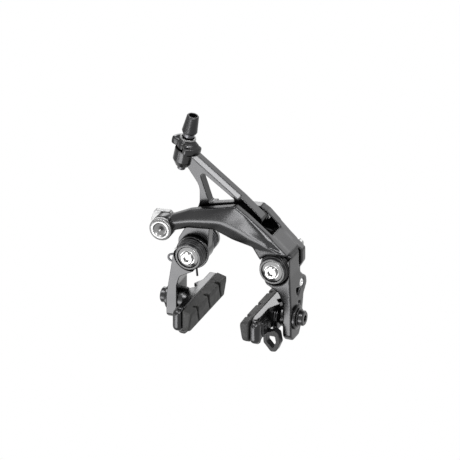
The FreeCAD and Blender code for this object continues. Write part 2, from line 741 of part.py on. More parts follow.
def cable_anchor():
    """Dished anchor bolt, its clamp plate and nut at the anchor arm's end."""
    across = f"{PIVOTS['right']} - anchor_reach"
    front = "anchor_boss_front + anchor_disc_thick"
    clamp_rear = "anchor_boss_rear - clamp_thick"
    nut_rear = f"{clamp_rear} - anchor_nut_thick"
    node("anchor_bolt", turned("anchor_bolt", [
        (f"{nut_rear} - 1.2", "0"), (f"{nut_rear} - 1.2", "anchor_bolt_r"),
        ("anchor_boss_front", "anchor_bolt_r"), ("anchor_boss_front", "anchor_disc_r"),
        (f"{front} - 0.9", "anchor_disc_r"), (front, "anchor_rim_r"),
        (front, "anchor_dish_r"), (f"{front} - anchor_dish_depth", "anchor_dish_r - 0.5"),
        (f"{front} - anchor_dish_depth + 0.5", "0")], across, "0", "anchor_height", FORWARD))
    corners, radii = outline("clamp")
    plate = prism("clamp_blank", "front", corners, clamp_rear, "anchor_boss_rear",
                  across=across, up="anchor_height", radii=radii)
    hole = cylinder("clamp_hole", "anchor_bolt_r + fit_gap", f"{clamp_rear} - 1",
                    "anchor_boss_rear + 1", across, "anchor_height")
    groove = prism("clamp_groove", "front", [
        ("anchor_bolt_r + 0.2", "-12"), ("anchor_bolt_r + 1.8", "-12"),
        ("anchor_bolt_r + 1.8", "12"), ("anchor_bolt_r + 0.2", "12")],
        "anchor_boss_rear - 1", "anchor_boss_rear + 1", across=across, up="anchor_height")
    node("cable_clamp_plate", cut("cable_clamp_plate", plate, [hole, groove]))
    nut = prism("anchor_nut_blank", "front", hexagon("anchor_nut_r"), nut_rear, clamp_rear,
                across=across, up="anchor_height")
    thread = cylinder("anchor_nut_hole", "anchor_bolt_r + press_gap", f"{nut_rear} - 1",
                      f"{clamp_rear} + 1", across, "anchor_height")
    node("anchor_nut", cut("anchor_nut", nut, [thread]))


def centring_screw():
    """Small screw in the ear of the right leg that trims the arms' balance."""
    screw = turned("centring_screw", [
        ("-screw_length", "0"), ("-screw_length", "screw_r"), ("0", "screw_r"),
        ("0", "screw_head_r"), ("screw_head_thick - 0.4", "screw_head_r"),
        ("screw_head_thick", "screw_head_r - 0.5"), ("screw_head_thick", "0")],
        f"{PIVOTS['right']} + screw_seat", "screw_depth", "-screw_drop", RIGHT)
    socket(screw, "centring_screw", hexagon("screw_head_r - 1.3"), "screw_head_thick", "1")
    node("centring_screw", screw)


def wing_outline(spot, axis, start, end):
    """Three rounded wings with hollow flanks, standing on the adjuster's axis."""
    across, depth, up = [value(text) for text in spot]
    corners, radii = [], []
    for number in range(3):
        middle = value("nut_turn") + 120 * number
        for angle, reach, radius in ((middle - value("nut_wing_half"), "nut_wing_r / 0.97", 2.2),
                                     (middle + value("nut_wing_half"), "nut_wing_r / 0.97", 2.2),
                                     (middle + 60, "nut_valley_r", 4.0)):
            corners.append((f"-{reach} * cos({angle})", f"-{reach} * sin({angle})"))
            radii.append(radius)
    sketch = doc.addObject("Sketcher::SketchObject", "wing_outline")
    sketch.Placement = Placement(Vector(across, -depth, up) + axis * value(start),
                                 Rotation(Vector(axis.z, 0, -axis.x), Vector(0, 1, 0), axis,
                                          "XYZ"))
    points = fill_sketch(sketch, corners)
    wings = doc.addObject("Part::Extrusion", "nut_wings")
    wings.Base = sketch
    wings.DirMode = "Normal"
    wings.Solid = True
    wings.setExpression("LengthFwd", bind(f"({end}) - ({start})"))
    doc.recompute()
    return rounded("nut_wings", wings, radii, points, "lean")


def barrel_adjuster():
    """Winged nut, its silver ring, threaded stem and tapered housing ferrule."""
    lean = math.radians(value("lean"))
    axis = Vector(math.sin(lean), 0, math.cos(lean))
    spot = (f"{PIVOTS['left']} + eye_shift", "eye_depth", "eye_height")
    nut_foot = "eye_half + seat_gap"
    nut_top = f"{nut_foot} + nut_thick"
    ring_top = f"{nut_top} + nut_ring_thick"
    neck_foot = f"{nut_top} + stem_travel + seat_gap"
    ferrule_foot = f"{ring_top} + stem_gap"
    ferrule_top = f"{ferrule_foot} + ferrule_length"
    wings = wing_outline(spot, axis, nut_foot, nut_top)
    soft = turned("nut_form", [
        (nut_foot, "0"), (nut_foot, "nut_wing_r - 1.6"), (f"{nut_foot} + 1.8", "nut_wing_r"),
        (f"{nut_top} - 2.4", "nut_wing_r"), (f"{nut_top} - 0.6", "nut_wing_r - 2.2"),
        (nut_top, "nut_wing_r - 4.6"), (nut_top, "0")], *spot, axis)
    bore = turned("nut_bore", [
        ("0", "0"), ("0", "stem_r + fit_gap"), (f"{nut_top} + 2", "stem_r + fit_gap"),
        (f"{nut_top} + 2", "0")], *spot, axis)
    node("adjuster_nut", cut("adjuster_nut", common("nut_blank", [wings, soft]), [bore]))
    node("adjuster_ring", turned("adjuster_ring", [
        (nut_top, "neck_r + fit_gap"), (nut_top, "nut_ring_r"), (ring_top, "nut_ring_r - 0.3"),
        (ring_top, "neck_r + fit_gap")], *spot, axis))
    node("adjuster_stem", turned("adjuster_stem", [
        ("-stem_below", "cable_r"), ("-stem_below", "stem_r - 0.5"),
        ("-stem_below + 0.5", "stem_r"), (neck_foot, "stem_r"), (neck_foot, "neck_r - 0.3"),
        (ferrule_foot, "neck_r - 0.3"), (ferrule_foot, "cable_r")], *spot, axis))
    node("housing_ferrule", turned("housing_ferrule", [
        (ferrule_foot, "cable_r"), (ferrule_foot, "ferrule_foot_r - 0.4"),
        (f"{ferrule_foot} + 1", "ferrule_foot_r"), (f"{ferrule_top} - 0.5", "ferrule_top_r"),
        (ferrule_top, "ferrule_top_r - 0.4"), (ferrule_top, "housing_r"),
        (f"{ferrule_top} - housing_depth", "housing_r"),
        (f"{ferrule_top} - housing_depth", "cable_r")], *spot, axis))


def tangent_arc(start, corner, end):
    """Arc from start to end whose end tangents meet at a corner."""
    middle = (start + end) * 0.5
    half = start.distanceToPoint(end) / 2
    rise = corner.distanceToPoint(middle)
    turn = 2 * math.atan2(rise, half)
    crown = middle + (corner - middle) * (half * math.tan(turn / 4) / rise)
    return Part.Arc(start, crown, end).toShape()


def biarc(start, start_way, end, end_way):
    """Two arcs that leave and arrive along given directions."""
    chord = end - start
    ways = start_way + end_way
    spread = 2 * (1 - start_way.dot(end_way))
    reach = chord.dot(ways)
    length = (math.sqrt(reach ** 2 + spread * chord.dot(chord)) - reach) / spread
    first = start + start_way * length
    second = end - end_way * length
    joint = (first + second) * 0.5
    return [tangent_arc(start, first, joint), tangent_arc(joint, second, end)]


def return_spring():
    """Torsion spring round the left hub's tail: one tube on biarcs of quarter turns."""
    radius, pitch, turns = value("spring_r"), value("spring_pitch"), value("spring_turns")
    wire_r, start, eye = value("spring_wire_r"), value("spring_start"), value("spring_eye_r")
    total = 2 * math.pi * turns
    first = -math.radians(value("spring_lean"))
    steps = math.ceil(4 * turns)

    def coil(angle):
        depth = start + pitch * angle / (2 * math.pi)
        return Vector(-radius * math.cos(angle), -depth, radius * math.sin(angle))

    def way(angle):
        slope = -pitch / (2 * math.pi)
        return Vector(radius * math.sin(angle), slope, radius * math.cos(angle)).normalize()

    begin = coil(first) - way(first) * value("spring_tang")
    edges = [Part.LineSegment(begin, coil(first)).toShape()]
    for step in range(steps):
        low, high = [first + (total - first) * end / steps for end in (step, step + 1)]
        edges += biarc(coil(low), way(low), coil(high), way(high))
    tip, ahead = coil(total), way(total)
    out = Vector(ahead.z, 0, -ahead.x).normalize()
    elbow = tip + ahead * value("spring_arm")
    far = elbow + out * (2 * eye)
    edges += [Part.LineSegment(tip, elbow).toShape(),
              Part.Arc(elbow, elbow + (out + ahead) * eye, far).toShape(),
              Part.LineSegment(far, far - ahead * value("spring_eye_back")).toShape()]
    ring = Part.Wire(Part.makeCircle(wire_r, begin, way(first)))
    spring = doc.addObject("Part::Feature", "return_spring")
    spring.Shape = Part.Wire(edges).makePipeShell([ring], True, False)
    spring.Placement = Placement(Vector(value(PIVOTS["left"]), 0, 0), Rotation())
    samples = [coil(total * number / 400) for number in range(401)]
    apart = int(200 / turns)
    least = min(near.distanceToPoint(far_point) for number, near in enumerate(samples)
                for far_point in samples[number + apart:])
    print("least gap of the spring to itself", round(least - 2 * wire_r, 3))
    node("return_spring", spring)


def shoe(side):
    """Brake shoe on its bolt: insert, holder, washers, wheel guide and screws."""
    sign = 1 if side == "right" else -1
    leg_inner = f"(pivot_span / 2 + {side}_leg_inner)"
    leg_outer = f"(pivot_span / 2 + {side}_leg_outer)"
    back = "(shoe_face + insert_thick)"
    holder_out = f"({back} + holder_thick)"
    boss_out = f"({holder_out} + boss_long)"
    outward = Vector(sign, 0, 0)

    def bar(name, radius, start, end, depth, up):
        low, high = (start, end) if sign > 0 else (f"-({end})", f"-({start})")
        return cross_bar(name, radius, low, high, depth, up)

    def side_plate(name, corners, start, end, radii=None):
        low, high = (f"-({end})", f"-({start})") if sign > 0 else (start, end)
        return prism(name, "side", corners, low, high, radii=radii)

    # Rubber insert with a sloped top, and chevron grooves in its braking face
    face_line = f"{sign} * shoe_face"
    rubber = prism(f"insert_{side}", "front", [
        (face_line, "-shoe_top - insert_chamfer"),
        (f"{sign} * (shoe_face + 1.6)", "-shoe_bottom + 0.9"),
        (f"{sign} * (shoe_face + 3.1)", "-shoe_bottom - 1"),
        (f"{sign} * {back}", "-shoe_bottom - 0.2"), (f"{sign} * {back}", "-shoe_top")],
        "shoe_rear", "shoe_front - 0.6", radii=[0.8, 0.8, 0, 0, 0])
    nose = side_plate(f"insert_profile_{side}", [
        ("shoe_rear - 1", "-shoe_top + 2"), ("shoe_front - 0.6", "-shoe_top + 2"),
        ("shoe_front - 0.6", "-shoe_bottom + 1.9"), ("shoe_front - 6.6", "-shoe_bottom - 1.2"),
        ("shoe_rear - 1", "-shoe_bottom - 1.2")],
        "shoe_face - 1", f"{back} + 1", radii=[0, 0, 3, 5, 0])
    rubber = common(f"insert_blank_{side}", [rubber, nose])
    grooves = []
    for number in range(3):
        middle = f"(groove_first + groove_step * {number})"
        bend = "-shoe_top - 7"
        top, low = "-shoe_top + 1", "-shoe_bottom - 2"
        grooves.append(side_plate(f"groove_{side}_{number}", [
            (f"{middle} + 2.2 + groove_width", top), (f"{middle} + groove_width", bend),
            (f"{middle} + groove_width - groove_sweep", low), (f"{middle} - groove_sweep", low),
            (middle, bend), (f"{middle} + 2.2", top)],
            "shoe_face - 1", "shoe_face + groove_depth"))
    node(f"pad_insert_{side}", cut(f"pad_insert_{side}", rubber, grooves))

    # Holder with a ledge and a threaded boss towards the leg
    plate = side_plate(f"holder_plate_{side}", [
        ("shoe_rear", "-shoe_top"), ("shoe_front", "-shoe_top"),
        ("shoe_front", "-shoe_bottom + 2.4"), ("shoe_front - 6.5", "-shoe_bottom"),
        ("shoe_rear", "-shoe_bottom")],
        back, holder_out, radii=[1.5, 2, 3, 5, 1.5])
    ledge = prism(f"holder_ledge_{side}", "top", [
        (f"{sign} * {holder_out} - {sign}", "-pad_depth - 14.5"),
        (f"{sign} * ({boss_out} + 1.8)", "-pad_depth - 4.2"),
        (f"{sign} * {holder_out} - {sign} * 0.1", "-pad_depth + 0.8"),
        (f"{sign} * ({boss_out} + 0.8)", "-pad_depth + 4.5"),
        (f"{sign} * {holder_out} - {sign}", "-pad_depth + 13")],
        "-shoe_top - 2.6", "-shoe_top")
    boss = bar(f"holder_boss_{side}", "boss_r", f"{holder_out} - 1", boss_out, "pad_depth",
               "-pad_drop")
    block = side_plate(f"holder_block_{side}", [
        ("grub_depth - 4.5", "-shoe_top - 3.4"), ("grub_depth + 4.5", "-shoe_top - 3.4"),
        ("grub_depth + 4.5", "-shoe_bottom + 2"), ("grub_depth - 4.5", "-shoe_bottom + 2")],
        f"{holder_out} - 1", f"{holder_out} + 1.6", radii=[1, 1, 1, 1])
    nose = side_plate(f"holder_nose_{side}", [
        ("shoe_front - 7", "-shoe_top - 0.9"), ("shoe_front", "-shoe_top - 0.9"),
        ("shoe_front", "-shoe_bottom + 3"), ("shoe_front - 7", "-shoe_bottom + 1.9")],
        f"{holder_out} - 1", f"{holder_out} + 1.7", radii=[1, 2, 3, 1])
    heel = side_plate(f"holder_heel_{side}", [
        ("pad_depth - 5.5", "-pad_drop"), ("pad_depth + 5.5", "-pad_drop"),
        ("pad_depth + 5.5", "-shoe_bottom - 3.1"), ("pad_depth - 5.5", "-shoe_bottom - 3.1")],
        f"{holder_out} - 1", f"{boss_out} - 0.2", radii=[0, 0, 3, 3])
    keel = side_plate(f"holder_keel_{side}", [
        ("shoe_front - 13", "-shoe_bottom + 2"), ("shoe_front - 6", "-shoe_bottom + 2"),
        ("shoe_front - 6", "-shoe_bottom - 2.6"), ("shoe_front - 11", "-shoe_bottom - 2.6")],
        f"{back}", f"{holder_out} - 0.6", radii=[0, 0, 2, 2])
    thread = bar(f"holder_thread_{side}", "pad_bolt_r + press_gap",
                 f"{boss_out} - pad_bolt_bite - 1", f"{boss_out} + 4", "pad_depth", "-pad_drop")
    grub_hole = bar(f"grub_hole_{side}", "grub_r + fit_gap", f"{back} - 1",
                    f"{holder_out} + 3", "grub_depth", "-shoe_top - 7.6")
    blank = fuse(f"holder_blank_{side}", [plate, ledge, boss, block, nose, heel, keel])
    node(f"pad_holder_{side}", cut(f"pad_holder_{side}", blank, [thread, grub_hole]))
    node(f"insert_screw_{side}", turned(f"insert_screw_{side}", [
        ("0", "0"), ("0", "grub_r"), ("holder_thick + 1.4", "grub_r"),
        ("holder_thick + 1.4", "0")], f"{sign} * {back}", "grub_depth", "-shoe_top - 7.6",
        outward))

    # Dished washers each side of the leg, and the bolt through them
    inner_room = f"({leg_inner} - seat_gap - {boss_out})"
    hole = "pad_bolt_r + fit_gap"
    node(f"inner_dish_{side}", turned(f"inner_dish_{side}", [
        ("0", hole), ("0", "boss_r"), (f"{inner_room} * 0.3", "boss_r + 0.8"),
        (f"{inner_room} * 0.3", "boss_r - 0.4"), (f"{inner_room} * 0.55", hole)],
        f"{sign} * {boss_out}", "pad_depth", "-pad_drop", outward))
    node(f"inner_washer_{side}", turned(f"inner_washer_{side}", [
        (f"{inner_room} * 0.55 + press_gap", hole), (f"{inner_room} * 0.3 + press_gap",
                                                     "boss_r - 0.4"),
        (f"{inner_room} * 0.3 + press_gap", "boss_r + 0.9"),
        (f"{inner_room} * 0.6", "pad_washer_r - 0.6"), (inner_room, "pad_washer_r - 0.6"),
        (inner_room, hole)], f"{sign} * {boss_out}", "pad_depth", "-pad_drop", outward))
    node(f"outer_washer_{side}", turned(f"outer_washer_{side}", [
        ("0", hole), ("0", "pad_washer_r"), ("outer_stack * 0.45", "pad_washer_r"),
        ("outer_stack * 0.6", "pad_washer_r - 0.8"), ("outer_stack * 0.6", "pad_head_r + 0.8"),
        ("outer_stack * 0.4", hole)],
        f"{sign} * ({leg_outer} + seat_gap)", "pad_depth", "-pad_drop", outward))
    node(f"outer_dish_{side}", turned(f"outer_dish_{side}", [
        ("outer_stack * 0.4 + press_gap", hole),
        ("outer_stack * 0.6 + press_gap", "pad_head_r + 0.8"),
        ("outer_stack * 0.8", "pad_head_r + 1.2"), ("outer_stack", "pad_head_r + 0.8"),
        ("outer_stack", hole)],
        f"{sign} * ({leg_outer} + seat_gap)", "pad_depth", "-pad_drop", outward))
    head = f"{leg_outer} + seat_gap + outer_stack"
    shank = f"({head} - ({boss_out} - pad_bolt_bite))"
    bolt = turned(f"pad_bolt_{side}", [
        (f"-{shank}", "0"), (f"-{shank}", "pad_bolt_r - 0.5"), (f"-{shank} + 0.5", "pad_bolt_r"),
        ("0", "pad_bolt_r"), ("0", "pad_head_r"), ("pad_head_thick - 0.6", "pad_head_r"),
        ("pad_head_thick", "pad_head_r - 0.6"), ("pad_head_thick", "0")],
        f"{sign} * ({head})", "pad_depth", "-pad_drop", outward)
    socket(bolt, f"pad_bolt_{side}", hexagon("pad_bolt_r - 0.7"), "pad_head_thick", "2")
    node(f"pad_bolt_{side}", bolt)

    # Loop under the holder that guides the tyre between the shoes
    drop = f"loop_drop_{side}"
    corners, radii = outline("loop_outer", mirror=sign, up_sign=f"-shoe_bottom - {drop}")
    loop = prism(f"loop_{side}", "front", corners, "loop_rear", "loop_rear + loop_width",
                 radii=radii)
    corners, radii = outline("loop_hole", mirror=sign, up_sign=f"-shoe_bottom - {drop}")
    gap = prism(f"loop_gap_{side}", "front", corners, "loop_rear - 1",
                "loop_rear + loop_width + 1", radii=radii)
    node(f"wheel_guide_{side}", cut(f"wheel_guide_{side}", loop, [gap]))


for pivot_side in PIVOTS:
    mounting_bolt(pivot_side)
    flange_washer(pivot_side)
    pivot_cap(pivot_side)
    pivot_sleeve(pivot_side)
    rear_spacer(pivot_side)
    pivot_bush(pivot_side)
anchor_arm()
stop_arm()
coupling_roller()
cable_anchor()
centring_screw()
barrel_adjuster()
return_spring()
for shoe_side in ("right", "left"):
    shoe(shoe_side)
doc.recompute()

for thing in doc.Objects:
    if "Invalid" in thing.State or "Error" in thing.State:
        raise RuntimeError(f"{thing.Name} did not build: {thing.State}")
for thing in NODES:
    shape = thing.Shape
    if shape.isNull() or not shape.isValid() or not shape.Solids:
        raise RuntimeError(f"{thing.Label} has no valid solid")

os.makedirs("parts", exist_ok=True)
for thing in NODES:
    thing.Shape.exportStep(f"parts/{thing.Label}.step")
    print(thing.Label, len(thing.Shape.Solids), round(thing.Shape.Volume, 2))
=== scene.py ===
import json
import math

import bmesh
import bpy
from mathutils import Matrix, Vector

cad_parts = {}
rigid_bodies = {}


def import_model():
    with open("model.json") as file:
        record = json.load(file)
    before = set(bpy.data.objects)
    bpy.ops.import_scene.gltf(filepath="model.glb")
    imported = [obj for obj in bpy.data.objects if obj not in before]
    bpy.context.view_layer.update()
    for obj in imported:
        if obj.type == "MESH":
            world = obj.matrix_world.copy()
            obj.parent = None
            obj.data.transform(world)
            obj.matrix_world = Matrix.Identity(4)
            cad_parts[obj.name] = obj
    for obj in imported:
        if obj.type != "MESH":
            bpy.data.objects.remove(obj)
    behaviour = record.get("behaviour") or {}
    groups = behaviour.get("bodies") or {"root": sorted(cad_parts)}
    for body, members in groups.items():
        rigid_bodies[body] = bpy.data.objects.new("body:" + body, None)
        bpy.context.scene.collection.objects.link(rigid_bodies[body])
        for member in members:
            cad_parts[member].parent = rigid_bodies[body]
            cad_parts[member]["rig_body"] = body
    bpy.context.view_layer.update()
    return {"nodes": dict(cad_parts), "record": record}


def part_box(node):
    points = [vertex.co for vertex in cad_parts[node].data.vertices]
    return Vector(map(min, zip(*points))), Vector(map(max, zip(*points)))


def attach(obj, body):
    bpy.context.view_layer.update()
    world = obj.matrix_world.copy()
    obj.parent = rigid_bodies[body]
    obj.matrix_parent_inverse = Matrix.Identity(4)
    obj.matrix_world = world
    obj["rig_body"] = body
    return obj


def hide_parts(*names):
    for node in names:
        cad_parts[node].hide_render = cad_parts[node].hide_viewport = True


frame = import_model()
MM = 0.001


# Materials, with bevels, bumps and grain in millimetres

RAMP_ENDS = (0.3, 0.7)
BEVEL_SAMPLES = 6
BUMP_STRENGTH = 0.6
RUBBER_BEVEL = 0.3


def shader(name, colour, roughness, metallic=0.0, specular=0.5):
    """A principled material; returns it with its node tree and shader node."""
    material = bpy.data.materials.new(name)
    material.use_nodes = True
    tree = material.node_tree
    principled = tree.nodes["Principled BSDF"]
    principled.inputs["Base Color"].default_value = (*colour, 1)
    principled.inputs["Roughness"].default_value = roughness
    principled.inputs["Metallic"].default_value = metallic
    principled.inputs["Specular IOR Level"].default_value = specular
    return material, tree, principled


def add_node(tree, kind, **values):
    """A shader node with some of its settings."""
    made = tree.nodes.new(kind)
    for key, setting in values.items():
        setattr(made, key, setting)
    return made


def noise(tree, per_metre, detail, roughness=0.55):
    """Noise in object space."""
    where = add_node(tree, "ShaderNodeTexCoord")
    grain = add_node(tree, "ShaderNodeTexNoise")
    grain.inputs["Scale"].default_value = per_metre
    grain.inputs["Detail"].default_value = detail
    grain.inputs["Roughness"].default_value = roughness
    tree.links.new(where.outputs["Object"], grain.inputs["Vector"])
    return grain.outputs["Fac"]


def ramp(tree, factor, low, high):
    """A ramp between two greys or two colours, driven by a factor near its middle."""
    made = add_node(tree, "ShaderNodeValToRGB")
    for element, position, shade in zip(made.color_ramp.elements, RAMP_ENDS, (low, high)):
        element.position = position
        element.color = (*shade, 1) if isinstance(shade, tuple) else (shade, shade, shade, 1)
    tree.links.new(factor, made.inputs["Fac"])
    return made.outputs["Color"]


def soften(tree, principled, bevel_mm, height, bump_mm):
    """Softly rounded edges from a bevel normal, with a fine bump on top."""
    bevel = add_node(tree, "ShaderNodeBevel", samples=BEVEL_SAMPLES)
    bevel.inputs["Radius"].default_value = bevel_mm * MM
    bump = add_node(tree, "ShaderNodeBump")
    bump.inputs["Strength"].default_value = BUMP_STRENGTH
    bump.inputs["Distance"].default_value = bump_mm * MM
    tree.links.new(height, bump.inputs["Height"])
    tree.links.new(bevel.outputs["Normal"], bump.inputs["Normal"])
    tree.links.new(bump.outputs["Normal"], principled.inputs["Normal"])


def black_alloy(name, bevel_mm, roughness=0.24, grain_mm=0.004):
    """Satin black anodised alloy, with a faint blasted grain."""
    material, tree, principled = shader(name, (0.045, 0.045, 0.046), roughness, metallic=1.0)
    grain = noise(tree, per_metre=900, detail=3)
    cloud = noise(tree, per_metre=60, detail=2)
    tree.links.new(ramp(tree, cloud, roughness - 0.02, roughness + 0.03),
                   principled.inputs["Roughness"])
    tree.links.new(ramp(tree, cloud, (0.04, 0.04, 0.041), (0.05, 0.05, 0.051)),
                   principled.inputs["Base Color"])
    soften(tree, principled, bevel_mm, grain, grain_mm)
    return material


def steel(name, colour, roughness, bevel_mm=0.25, turned=0.0):
    """Polished steel with fine lines; turned faces stretch their highlights."""
    material, tree, principled = shader(name, colour, roughness, metallic=1.0)
    lines = noise(tree, per_metre=700, detail=3)
    if turned:
        principled.inputs["Anisotropic"].default_value = turned
        around = add_node(tree, "ShaderNodeTangent", direction_type="RADIAL", axis="Y")
        tree.links.new(around.outputs["Tangent"], principled.inputs["Tangent"])
    tree.links.new(ramp(tree, lines, roughness * 0.75, roughness * 1.3),
                   principled.inputs["Roughness"])
    soften(tree, principled, bevel_mm, lines, bump_mm=0.004)
    return material


def plastic(name, colour, roughness, bevel_mm=0.25, specular=0.5):
    """Moulded black plastic with a fine spark-eroded grain."""
    material, tree, principled = shader(name, colour, roughness, specular=specular)
    grain = noise(tree, per_metre=1500, detail=2)
    tree.links.new(ramp(tree, grain, roughness * 0.85, roughness * 1.15),
                   principled.inputs["Roughness"])
    soften(tree, principled, bevel_mm, grain, bump_mm=0.01)
    return material


def rubber(name):
    """Brake pad compound: matt, with a dusty, slightly mottled face."""
    material, tree, principled = shader(name, (0.02, 0.02, 0.02), 0.6, specular=0.35)
    mottle = noise(tree, per_metre=260, detail=6, roughness=0.7)
    grain = noise(tree, per_metre=2200, detail=2)
    tree.links.new(ramp(tree, mottle, (0.014, 0.014, 0.014), (0.03, 0.03, 0.029)),
                   principled.inputs["Base Color"])
    tree.links.new(ramp(tree, mottle, 0.5, 0.72), principled.inputs["Roughness"])
    soften(tree, principled, RUBBER_BEVEL, grain, bump_mm=0.02)
    return material


BLACK = black_alloy("satin_black_alloy", bevel_mm=0.45)
BLACK_FINE = black_alloy("satin_black_fine", bevel_mm=0.2)
SILVER = steel("polished_steel", (0.24, 0.24, 0.24), roughness=0.14)
FLANGE = steel("flange_steel", (0.4, 0.4, 0.4), roughness=0.2, turned=0.6)
ANCHOR = steel("anchor_steel", (0.24, 0.24, 0.24), roughness=0.26, turned=0.7)
BOLT = steel("bolt_steel", (0.3, 0.3, 0.3), roughness=0.16)
CLAMP = steel("clamp_steel", (0.14, 0.14, 0.14), roughness=0.3)
FERRULE = black_alloy("turned_black_alloy", bevel_mm=0.3, roughness=0.36, grain_mm=0.001)
SCREW = steel("screw_steel", (0.8, 0.8, 0.8), roughness=0.2)
DARK_STEEL = steel("dark_steel", (0.09, 0.09, 0.095), roughness=0.34)
CAP = plastic("cap_plastic", (0.016, 0.016, 0.017), roughness=0.3, bevel_mm=0.15)
GUIDE = plastic("guide_plastic", (0.012, 0.012, 0.013), roughness=0.34, bevel_mm=0.5,
                specular=0.16)
BUSH = plastic("bush_plastic", (0.05, 0.05, 0.05), roughness=0.5)
RUBBER = rubber("pad_rubber")

FINISH = {
    "anchor_arm": BLACK, "stop_arm": BLACK, "adjuster_nut": BLACK_FINE,
    "adjuster_stem": DARK_STEEL, "housing_ferrule": FERRULE, "adjuster_ring": SILVER,
    "anchor_bolt": ANCHOR, "cable_clamp_plate": CLAMP, "anchor_nut": CLAMP,
    "centring_screw": SCREW, "return_spring": DARK_STEEL, "roller_pin": SILVER,
    "coupling_roller": BUSH,
}
for side in ("left", "right"):
    FINISH.update({
        f"mounting_bolt_{side}": BOLT, f"flange_washer_{side}": FLANGE,
        f"rear_spacer_{side}": SILVER, f"pivot_sleeve_{side}": SILVER,
        f"pivot_cap_{side}": CAP, f"pivot_bush_{side}": BUSH,
        f"pad_holder_{side}": BLACK_FINE, f"pad_insert_{side}": RUBBER,
        f"insert_screw_{side}": DARK_STEEL, f"inner_dish_{side}": BLACK_FINE,
        f"inner_washer_{side}": BLACK_FINE, f"outer_washer_{side}": BLACK_FINE,
        f"outer_dish_{side}": BLACK_FINE, f"pad_bolt_{side}": BLACK_FINE,
        f"wheel_guide_{side}": GUIDE,
    })
for name, material in FINISH.items():
    piece = frame["nodes"][name]
    piece.data.materials.clear()
    piece.data.materials.append(material)


# Pieces from mesh code

SMOOTH_FACTOR = 0.5


def object_of(name, shape):
    """An object of a bmesh shape, shaded smooth."""
    mesh = bpy.data.meshes.new(name)
    shape.to_mesh(mesh)
    shape.free()
    for face in mesh.polygons:
        face.use_smooth = True
    piece = bpy.data.objects.new(name, mesh)
    bpy.context.collection.objects.link(piece)
    return piece


def skin_rings(shape, rings):
    """Close a tube round rings of vertices, from each ring to the next and back to the first."""
    count = len(rings[0])
    for ring, following in zip(rings, rings[1:] + rings[:1]):
        for step in range(count):
            after = (step + 1) % count
            shape.faces.new((ring[step], ring[after], following[after], following[step]))
    bmesh.ops.recalc_face_normals(shape, faces=shape.faces)


def block(size, middle):
    """A bmesh block of a size round a middle."""
    shape = bmesh.new()
    bmesh.ops.create_cube(shape, size=1)
    for vertex in shape.verts:
        vertex.co = Vector([v * s for v, s in zip(vertex.co, size)]) + middle
    return shape


def made_real(piece):
    """Turn a piece's modifiers into its mesh."""
    graph = bpy.context.evaluated_depsgraph_get()
    mesh = bpy.data.meshes.new_from_object(piece.evaluated_get(graph))
    piece.modifiers.clear()
    piece.data = mesh


def smoothed(piece, name, rounds):
    """Add a smoothing modifier of some rounds to a piece."""
    edges = piece.modifiers.new(name, "SMOOTH")
    edges.factor = SMOOTH_FACTOR
    edges.iterations = rounds
    return edges


def worn_round(piece, weight, rounds):
    """Round a piece further where a weight says so: not at all at 0, fully at 1 and above."""
    made_real(piece)
    group = piece.vertex_groups.new(name="round")
    for vertex in piece.data.vertices:
        share = weight(vertex.co / MM)
        if share > 0:
            group.add([vertex.index], min(share, 1), "REPLACE")
    smoothed(piece, "rounder", rounds).vertex_group = group.name


def dressed(name, voxel_mm, rounds, cutters=(), reshape=None):
    """Stand a copy of a CAD node with softly rounded edges in for the node."""
    source = frame["nodes"][name]
    piece = bpy.data.objects.new(f"{name}_dressed", source.data.copy())
    bpy.context.collection.objects.link(piece)
    if reshape:
        reshape(piece.data)
    for cutter in cutters:
        bite = piece.modifiers.new("bite", "BOOLEAN")
        bite.operation = "DIFFERENCE"
        bite.object = cutter
    if cutters:
        made_real(piece)
        for cutter in cutters:
            bpy.data.objects.remove(cutter)
    skin = piece.modifiers.new("even_skin", "REMESH")
    skin.mode = "VOXEL"
    skin.voxel_size = voxel_mm * MM
    skin.use_smooth_shade = True
    smoothed(piece, "soft_edges", rounds)
    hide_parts(name)
    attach(piece, source["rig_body"])
    return piece


# Turned pieces, each with a revolved profile in millimetres in place of the plain one

TURNED_STEPS = 240
KNURL_TEETH, KNURL_DEPTH = 48, 0.16
CORE = 0.02
ANCHOR_DISC, ANCHOR_SHANK = 3.5, 2.5


def revolved(name, profile):
    """A piece turned about its node's axis from radii, depths and shares of knurl."""
    low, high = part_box(name)
    middle_x, middle_z = (low.x + high.x) / 2, (low.z + high.z) / 2
    shape = bmesh.new()
    rings = []
    for radius, depth, knurl in profile:
        ring = []
        for step in range(TURNED_STEPS):
            turn = 2 * math.pi * step / TURNED_STEPS
            out = (radius - knurl * KNURL_DEPTH * (1 + math.cos(KNURL_TEETH * turn))) * MM
            ring.append(shape.verts.new((middle_x + out * math.cos(turn), low.y + depth * MM,
                                         middle_z + out * math.sin(turn))))
        rings.append(ring)
    skin_rings(shape, rings)
    piece = object_of(f"{name}_dressed", shape)
    piece.data.materials.append(FINISH[name])
    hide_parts(name)
    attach(piece, frame["nodes"][name]["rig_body"])


def rim_and_length(name):
    """Largest radius and whole length of a turned node."""
    low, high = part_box(name)
    return (high.x - low.x) / 2 / MM, (high.y - low.y) / MM


def anchor_bolt():
    """The cable anchor's bolt with its dish, bright ring, sloping face and knurled rim."""
    rim, length = rim_and_length("anchor_bolt")
    revolved("anchor_bolt", [
        (CORE, 0.9, 0), (rim * 0.5, 1.05, 0), (rim * 0.57, 0.7, 0), (rim * 0.6, 0.1, 0),
        (rim * 0.62, 0, 0), (rim * 0.75, 0, 0), (rim * 0.78, 0.05, 0), (rim * 0.9, 0.35, 0),
        (rim * 0.94, 0.5, 0), (rim * 0.98, 0.7, 1), (rim, 1.0, 1), (rim, ANCHOR_DISC - 0.4, 1),
        (rim * 0.97, ANCHOR_DISC, 0), (ANCHOR_SHANK, ANCHOR_DISC, 0),
        (ANCHOR_SHANK, length, 0), (CORE, length, 0)])


